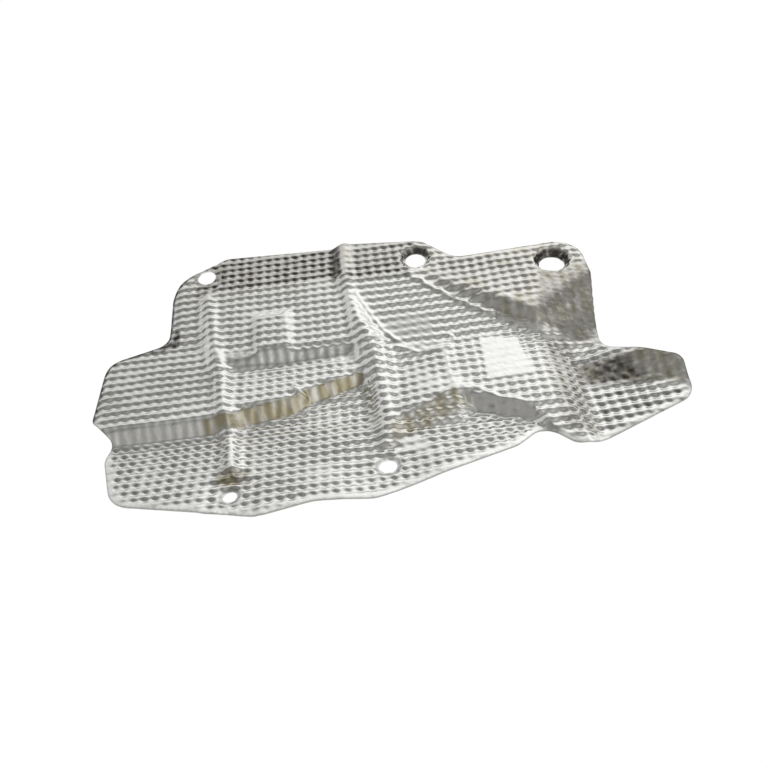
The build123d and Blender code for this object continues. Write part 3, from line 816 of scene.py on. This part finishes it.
metal = bpy.data.materials.new("embossed_aluminium")
metal.use_nodes = True
finish = metal.node_tree
shader = finish.nodes["Principled BSDF"]
shader.inputs["Metallic"].default_value = 1.0
tinted = laid_over(finish, ALUMINIUM, STRAW_AND_REFLECTION_COLOUR, "straw_and_reflection", STRAW_AND_REFLECTION_COVER)
# Painted shade and painted dark reflection laid over the metal colour.
darkened = laid_over(finish, tinted, SHADE_COLOUR, "painted_shade", SHADE_COVER)
finish.links.new(darkened, shader.inputs["Base Color"])
print("layers read by the metal:", [n.attribute_name for n in finish.nodes if n.type == "ATTRIBUTE"])

# %% [markdown]
# ## Handling wear
# New foil is evenly bright. A handled sheet is duller in places and full of tiny dents. Scratches could
# be drawn one by one, but at this distance only their sum shows. One noise varies the roughness and a
# finer one dents the surface. Both use the object's own coordinates, so they stay on the sheet.
# %% Handling wear and fine dents
WEAR_SCALE, WEAR_DETAIL = 140.0, 4.0
WEAR_LOW, WEAR_HIGH = 0.3, 0.7
SMOOTHEST, ROUGHEST = 0.15, 0.26
GRAIN_SCALE, GRAIN_DETAIL = 650.0, 3.0
DENT_STRENGTH, DENT_DEPTH = 0.6, 0.2 * MM

place = add(finish, "ShaderNodeTexCoord").outputs["Object"]
wear = add(finish, "ShaderNodeTexNoise", {"Vector": place, "Scale": WEAR_SCALE, "Detail": WEAR_DETAIL})
rough = add(finish, "ShaderNodeMapRange", {"Value": wear.outputs["Fac"],
                                           "From Min": WEAR_LOW, "From Max": WEAR_HIGH,
                                           "To Min": SMOOTHEST, "To Max": ROUGHEST})
finish.links.new(rough.outputs["Result"], shader.inputs["Roughness"])
grain = add(finish, "ShaderNodeTexNoise", {"Vector": place, "Scale": GRAIN_SCALE, "Detail": GRAIN_DETAIL})
dents = add(finish, "ShaderNodeBump", {"Height": grain.outputs["Fac"],
                                       "Strength": DENT_STRENGTH, "Distance": DENT_DEPTH})
finish.links.new(dents.outputs["Normal"], shader.inputs["Normal"])
mesh.materials.append(metal)
print("roughness from", SMOOTHEST, "to", ROUGHEST)

# %% [markdown]
# ## White paper under the part
# The part lies on white paper that fades into a white background. Strong lamps could burn the paper out
# to white, but they would burn out the metal too. So the floor is matt paper, and where the camera or
# the metal looks at it, a plain white glow is mixed over it. A little of the paper still shows through,
# so the shadow under the sheet stays.
# %% Floor
FLOOR = 3.0
PAPER, PAPER_ROUGH = (0.9, 0.9, 0.9, 1), 0.9
PAPER_GLOW = 1.06
GLOW_SHARE = 0.92

bpy.ops.mesh.primitive_plane_add(size=FLOOR, location=(0, 0, 0))
floor = bpy.context.object
floor.name = "floor"
floor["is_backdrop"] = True
paper = bpy.data.materials.new("white_paper")
paper.use_nodes = True
tree = paper.node_tree
matt = tree.nodes["Principled BSDF"]
matt.inputs["Base Color"].default_value = PAPER
matt.inputs["Roughness"].default_value = PAPER_ROUGH
matt.inputs["Specular IOR Level"].default_value = 0.0
glow = add(tree, "ShaderNodeEmission", {"Strength": PAPER_GLOW})
rays = add(tree, "ShaderNodeLightPath").outputs
seen = worked_out(tree, "MAXIMUM", rays["Is Camera Ray"], rays["Is Glossy Ray"])
seen = worked_out(tree, "MAXIMUM", seen, rays["Is Transmission Ray"])
share = worked_out(tree, "MULTIPLY", seen, GLOW_SHARE)
mix = add(tree, "ShaderNodeMixShader", {0: share, 1: matt.outputs[0], 2: glow.outputs[0]})
tree.links.new(mix.outputs[0], tree.nodes["Material Output"].inputs["Surface"])
floor.data.materials.append(paper)
print("floor", FLOOR, "m wide, glow share", GLOW_SHARE)

# %% [markdown]
# ## A soft studio as the world
# Mirror metal needs something to mirror. Lamps could light it, but between lamps metal mirrors only
# darkness. So the studio is painted on the world by direction: a white window low behind the part, a
# grey ceiling and a mid-grey room in front. The angle from the rear horizon, over the top, to the front
# horizon picks the tone from a ramp. Each bump then mirrors the window on its rear slope and the
# ceiling on its front slope, which draws the rows.
# %% Tones from the rear horizon to the front horizon
BANDS = ((0, (0.88, 0.88, 0.88)), (16, (0.92, 0.92, 0.92)), (28, (1.0, 1.0, 1.0)),
         (40, (0.88, 0.88, 0.87)), (53, (0.62, 0.62, 0.61)), (65, (0.38, 0.38, 0.37)),
         (76, (0.26, 0.26, 0.25)), (86, (0.27, 0.27, 0.26)), (98, (0.36, 0.36, 0.35)),
         (112, (0.43, 0.43, 0.42)), (140, (0.46, 0.455, 0.44)), (180, (0.50, 0.49, 0.47)))
HALF_TURN = 180

world = bpy.data.worlds.new("studio")
bpy.context.scene.world = world
world.use_nodes = True
studio = world.node_tree
way = add(studio, "ShaderNodeTexCoord").outputs["Generated"]
toward = add(studio, "ShaderNodeSeparateXYZ", {0: way}).outputs
turn = worked_out(studio, "DIVIDE", worked_out(studio, "ARCTAN2", toward["Z"], toward["Y"]), pi)
ramp = add(studio, "ShaderNodeValToRGB", {0: turn})
stops = ramp.color_ramp.elements
stops[0].color, stops[1].color = (*BANDS[0][1], 1), (*BANDS[-1][1], 1)
for angle, tone in BANDS[1:-1]:
    stops.new(angle / HALF_TURN).color = (*tone, 1)
print("studio tones", len(stops))

# %% [markdown]
# ## Left and right in the studio
# Two things break the evenness from left to right. A panel at the front right lights one side of the
# upright bars on the risers, and the whole studio is brighter towards the right, as it is beside a
# window. Rays straight from the camera get plain white, so the background shows no bands.
# %% Front panel, window side and white background
PANEL_START, PANEL_FULL = 0.18, 0.45
PANEL_NEAR, PANEL_FAR = -0.05, -0.45
PANEL_SHARE, PANEL_TONE = 0.42, (1.0, 0.99, 0.96, 1)
LEFT_SIDE, RIGHT_SIDE = (-0.45, 0.74), (0.20, 1.25)


def ease(value, start, end):
    """0 to 1 along one part of the direction."""
    span = add(studio, "ShaderNodeMapRange", {"Value": value, "From Min": start, "From Max": end},
               interpolation_type="SMOOTHSTEP")
    return span.outputs["Result"]


corner = worked_out(studio, "MULTIPLY", ease(toward["X"], PANEL_START, PANEL_FULL),
                    ease(toward["Y"], PANEL_NEAR, PANEL_FAR))
share = worked_out(studio, "MULTIPLY", corner, PANEL_SHARE)
side = add(studio, "ShaderNodeMapRange", {"Value": toward["X"],
                                          "From Min": LEFT_SIDE[0], "To Min": LEFT_SIDE[1],
                                          "From Max": RIGHT_SIDE[0], "To Max": RIGHT_SIDE[1]})
room = studio.nodes["Background"]
studio.links.new(mixed(studio, share, ramp.outputs["Color"], PANEL_TONE), room.inputs["Color"])
studio.links.new(side.outputs["Result"], room.inputs["Strength"])
white = add(studio, "ShaderNodeBackground", {"Color": (1, 1, 1, 1)})
rays = add(studio, "ShaderNodeLightPath").outputs
seen = worked_out(studio, "MAXIMUM", rays["Is Camera Ray"], rays["Is Transmission Ray"])
mix = add(studio, "ShaderNodeMixShader", {0: seen, 1: room.outputs[0], 2: white.outputs[0]})
studio.links.new(mix.outputs[0], studio.nodes["World Output"].inputs["Surface"])
print("studio nodes", len(studio.nodes))

# %% [markdown]
# ## The camera
# The picture looks down on the part from the front, turned a little about its own axis, as if the
# sheet had been photographed by hand on a table. A constraint could aim the camera, but it would keep
# the picture upright. Three directions set it exactly: forward, right and up. The focal length is
# written for a square picture on a 36 mm wide film.
# %% Camera
LOOK_DOWN = radians(54.5)
ROLL = radians(-7.3)
DISTANCE = 412 * MM
TARGET = Vector((0.70, -12.23, -3.02)) * MM
FILM, PICTURE, FOCAL_PIXELS = 36.0, 768, 750
NEAREST = 10 * MM

forward = Vector((0, cos(LOOK_DOWN), -sin(LOOK_DOWN)))
level, upright = Vector((1, 0, 0)), Vector((0, sin(LOOK_DOWN), cos(LOOK_DOWN)))
right = cos(ROLL) * level + sin(ROLL) * upright
up = -sin(ROLL) * level + cos(ROLL) * upright
lens = bpy.data.cameras.new("camera")
lens.lens = FOCAL_PIXELS / PICTURE * FILM
lens.clip_start = NEAREST
camera = bpy.data.objects.new("camera", lens)
bpy.context.scene.collection.objects.link(camera)
turned = Matrix((right, up, -forward)).transposed().to_4x4()
camera.matrix_world = Matrix.Translation(TARGET - DISTANCE * forward) @ turned
bpy.context.scene.camera = camera
bpy.context.scene.view_settings.view_transform = "Standard"
print("camera stands", [round(v, 3) for v in camera.location], "lens", round(lens.lens, 1), "mm")

# %% [markdown]
# ## Room left in the CAD box
# The dressed sheet may not grow past the CAD model. The room left inside the CAD box is printed for
# each side.
# %% Finish
new_low, new_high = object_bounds()
spare = [*(new_low - cad_low), *(cad_high - new_high)]
print("room left inside the CAD box in mm:", [round(v / MM, 2) for v in spare])
